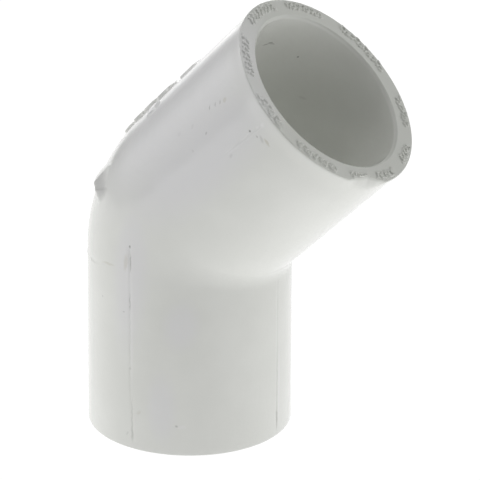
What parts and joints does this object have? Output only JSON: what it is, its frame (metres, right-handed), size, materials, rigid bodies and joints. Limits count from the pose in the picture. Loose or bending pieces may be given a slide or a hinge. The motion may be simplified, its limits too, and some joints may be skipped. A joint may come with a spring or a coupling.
{
  "type": "pvc conduit elbow",
  "caption": "White moulded PVC 45-degree elbow with a plain slip socket at each end, a sharp throat and a rounded heel, standing on one socket mouth.",
  "frame": {"origin": "bottom centre of the bounding box, on the plane of the lower socket's mouth, which is what the elbow stands on", "axes": "+Z along the lower socket's axis, away from its mouth; the upper socket leans toward +X at 45 degrees; the XZ plane is the plane of symmetry"},
  "size_m": [0.0528, 0.0332, 0.071],
  "materials": {
    "white_pvc": "satin injection-moulded rigid PVC, white"
  },
  "bodies": {
    "root": {"lower_socket": "white_pvc", "bend": "white_pvc", "upper_socket": "white_pvc"}
  },
  "joints": []
}
